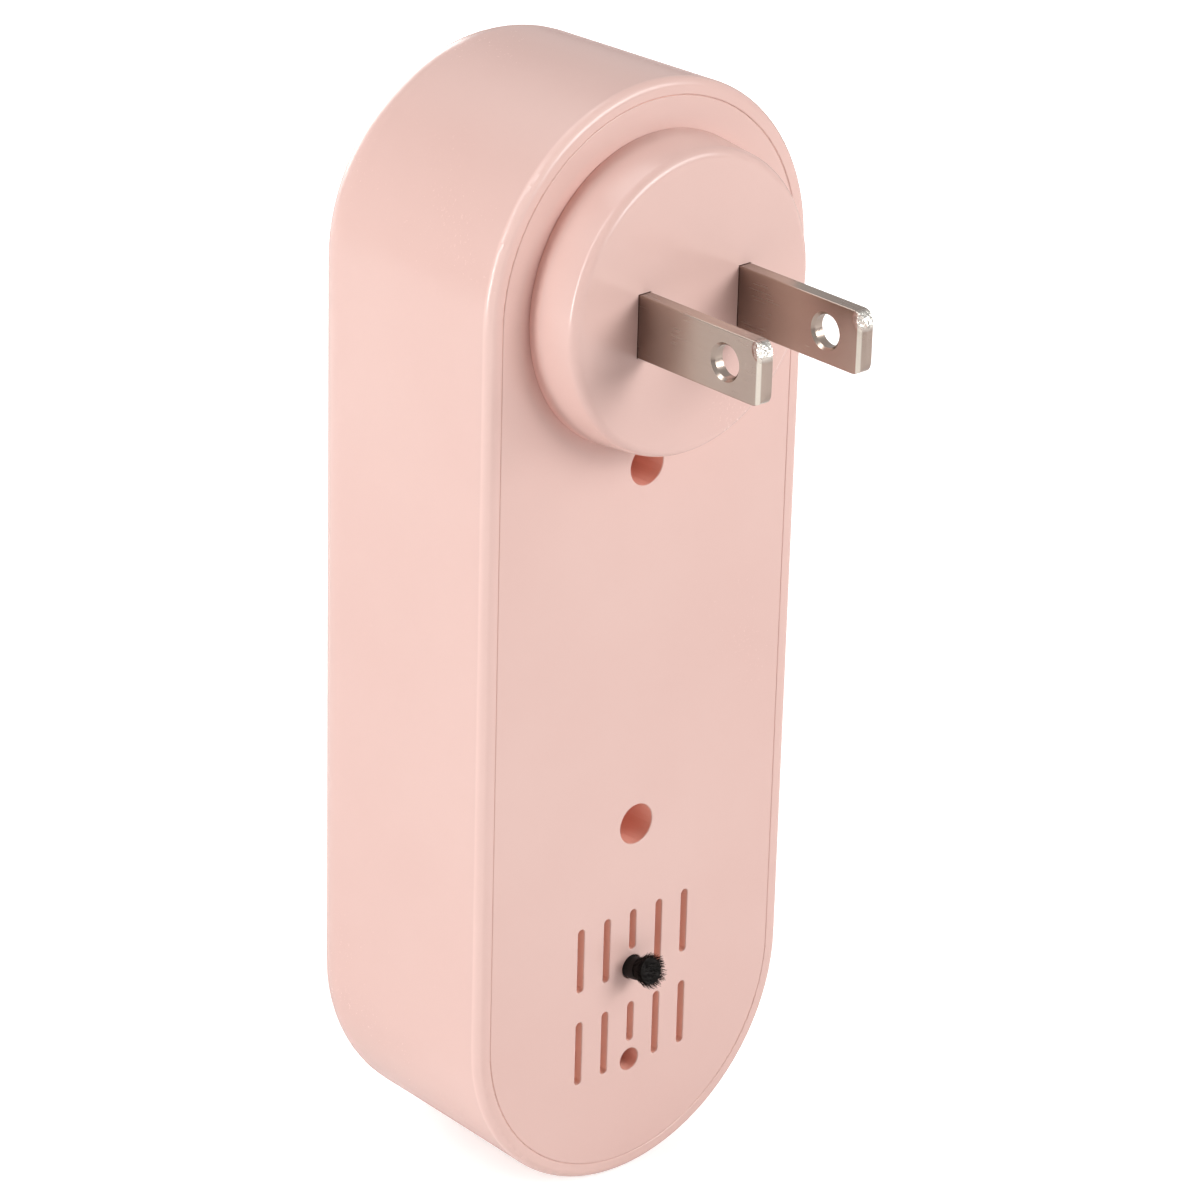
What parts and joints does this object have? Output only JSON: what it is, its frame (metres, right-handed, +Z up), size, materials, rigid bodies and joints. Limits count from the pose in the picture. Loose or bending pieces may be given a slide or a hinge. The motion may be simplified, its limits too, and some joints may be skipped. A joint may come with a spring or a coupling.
{
  "type": "ultrasonic pest repeller",
  "caption": "Pill-shaped plug-in ultrasonic pest repeller with flat mains blades on a round boss, vents and a carbon ion brush at the back.",
  "frame": {"origin": "centre of the plug boss's flat rear face, which meets the wall outlet", "axes": "+Y out of the back towards the wall, along the blades; +Z up, along the case's length; +X to the side, seen on the left from behind"},
  "size_m": [0.0404, 0.0491, 0.1149],
  "materials": {
    "shell_plastic": "moulded pale pink plastic with a satin gloss",
    "dark_plastic": "matt black moulded plastic",
    "blade_nickel": "nickel-plated brass, rolled along the blade",
    "screw_steel": "zinc-plated steel",
    "mesh_fabric": "fine black dust mesh",
    "soft_foam": "closed-cell foam",
    "cone_aluminium": "spun aluminium",
    "contact_brass": "bright brass",
    "ceramic_cream": "fired ceramic with a silver face",
    "board_green": "green solder mask",
    "film_yellow": "yellow moulded box",
    "can_sleeve": "shrink sleeve on an aluminium can",
    "ferrite": "dark grey ferrite",
    "copper_enamel": "enamelled copper wire",
    "resistor_grey": "grey flameproof coating",
    "lamp_clear": "clear moulded lens",
    "resin_black": "poured resin",
    "sleeve_black": "heat-shrink sleeve",
    "carbon_fibre": "loose carbon fibres",
    "wire_black": "vinyl insulation",
    "wire_white": "vinyl insulation"
  },
  "bodies": {
    "root": {"front_shell": "shell_plastic", "rear_cover": "shell_plastic", "plug_carrier": "shell_plastic", "plug_clamp": "dark_plastic", "blade_left": "blade_nickel", "blade_right": "blade_nickel", "cover_screws": "screw_steel", "board_screws": "screw_steel", "plug_clamp_screws": "screw_steel", "grille_mesh": "mesh_fabric", "transducer_seal": "soft_foam", "transducer_body": "dark_plastic", "transducer_cone": "cone_aluminium", "transducer_cap": "dark_plastic", "transducer_terminals": "contact_brass", "piezo_plate": "contact_brass", "piezo_ceramic": "ceramic_cream", "piezo_pad": "soft_foam", "main_board": "board_green", "film_capacitor": "film_yellow", "electrolytic_capacitor": "can_sleeve", "coil_core": "ferrite", "coil_winding": "copper_enamel", "bridge_rectifier": "dark_plastic", "controller_chip": "dark_plastic", "chip_pins": "screw_steel", "chip_resistors": "dark_plastic", "driver_transistors": "dark_plastic", "fusible_resistor": "resistor_grey", "indicator_lamp": "lamp_clear", "indicator_lens": "lamp_clear", "ionizer_case": "dark_plastic", "ionizer_resin": "resin_black", "brush_sleeve": "sleeve_black", "carbon_brush": "carbon_fibre", "mains_lead_live": "wire_black", "mains_lead_neutral": "wire_white", "transducer_leads": "wire_white", "ionizer_supply_leads": "wire_black", "ionizer_output_lead": "wire_white"}
  },
  "joints": []
}
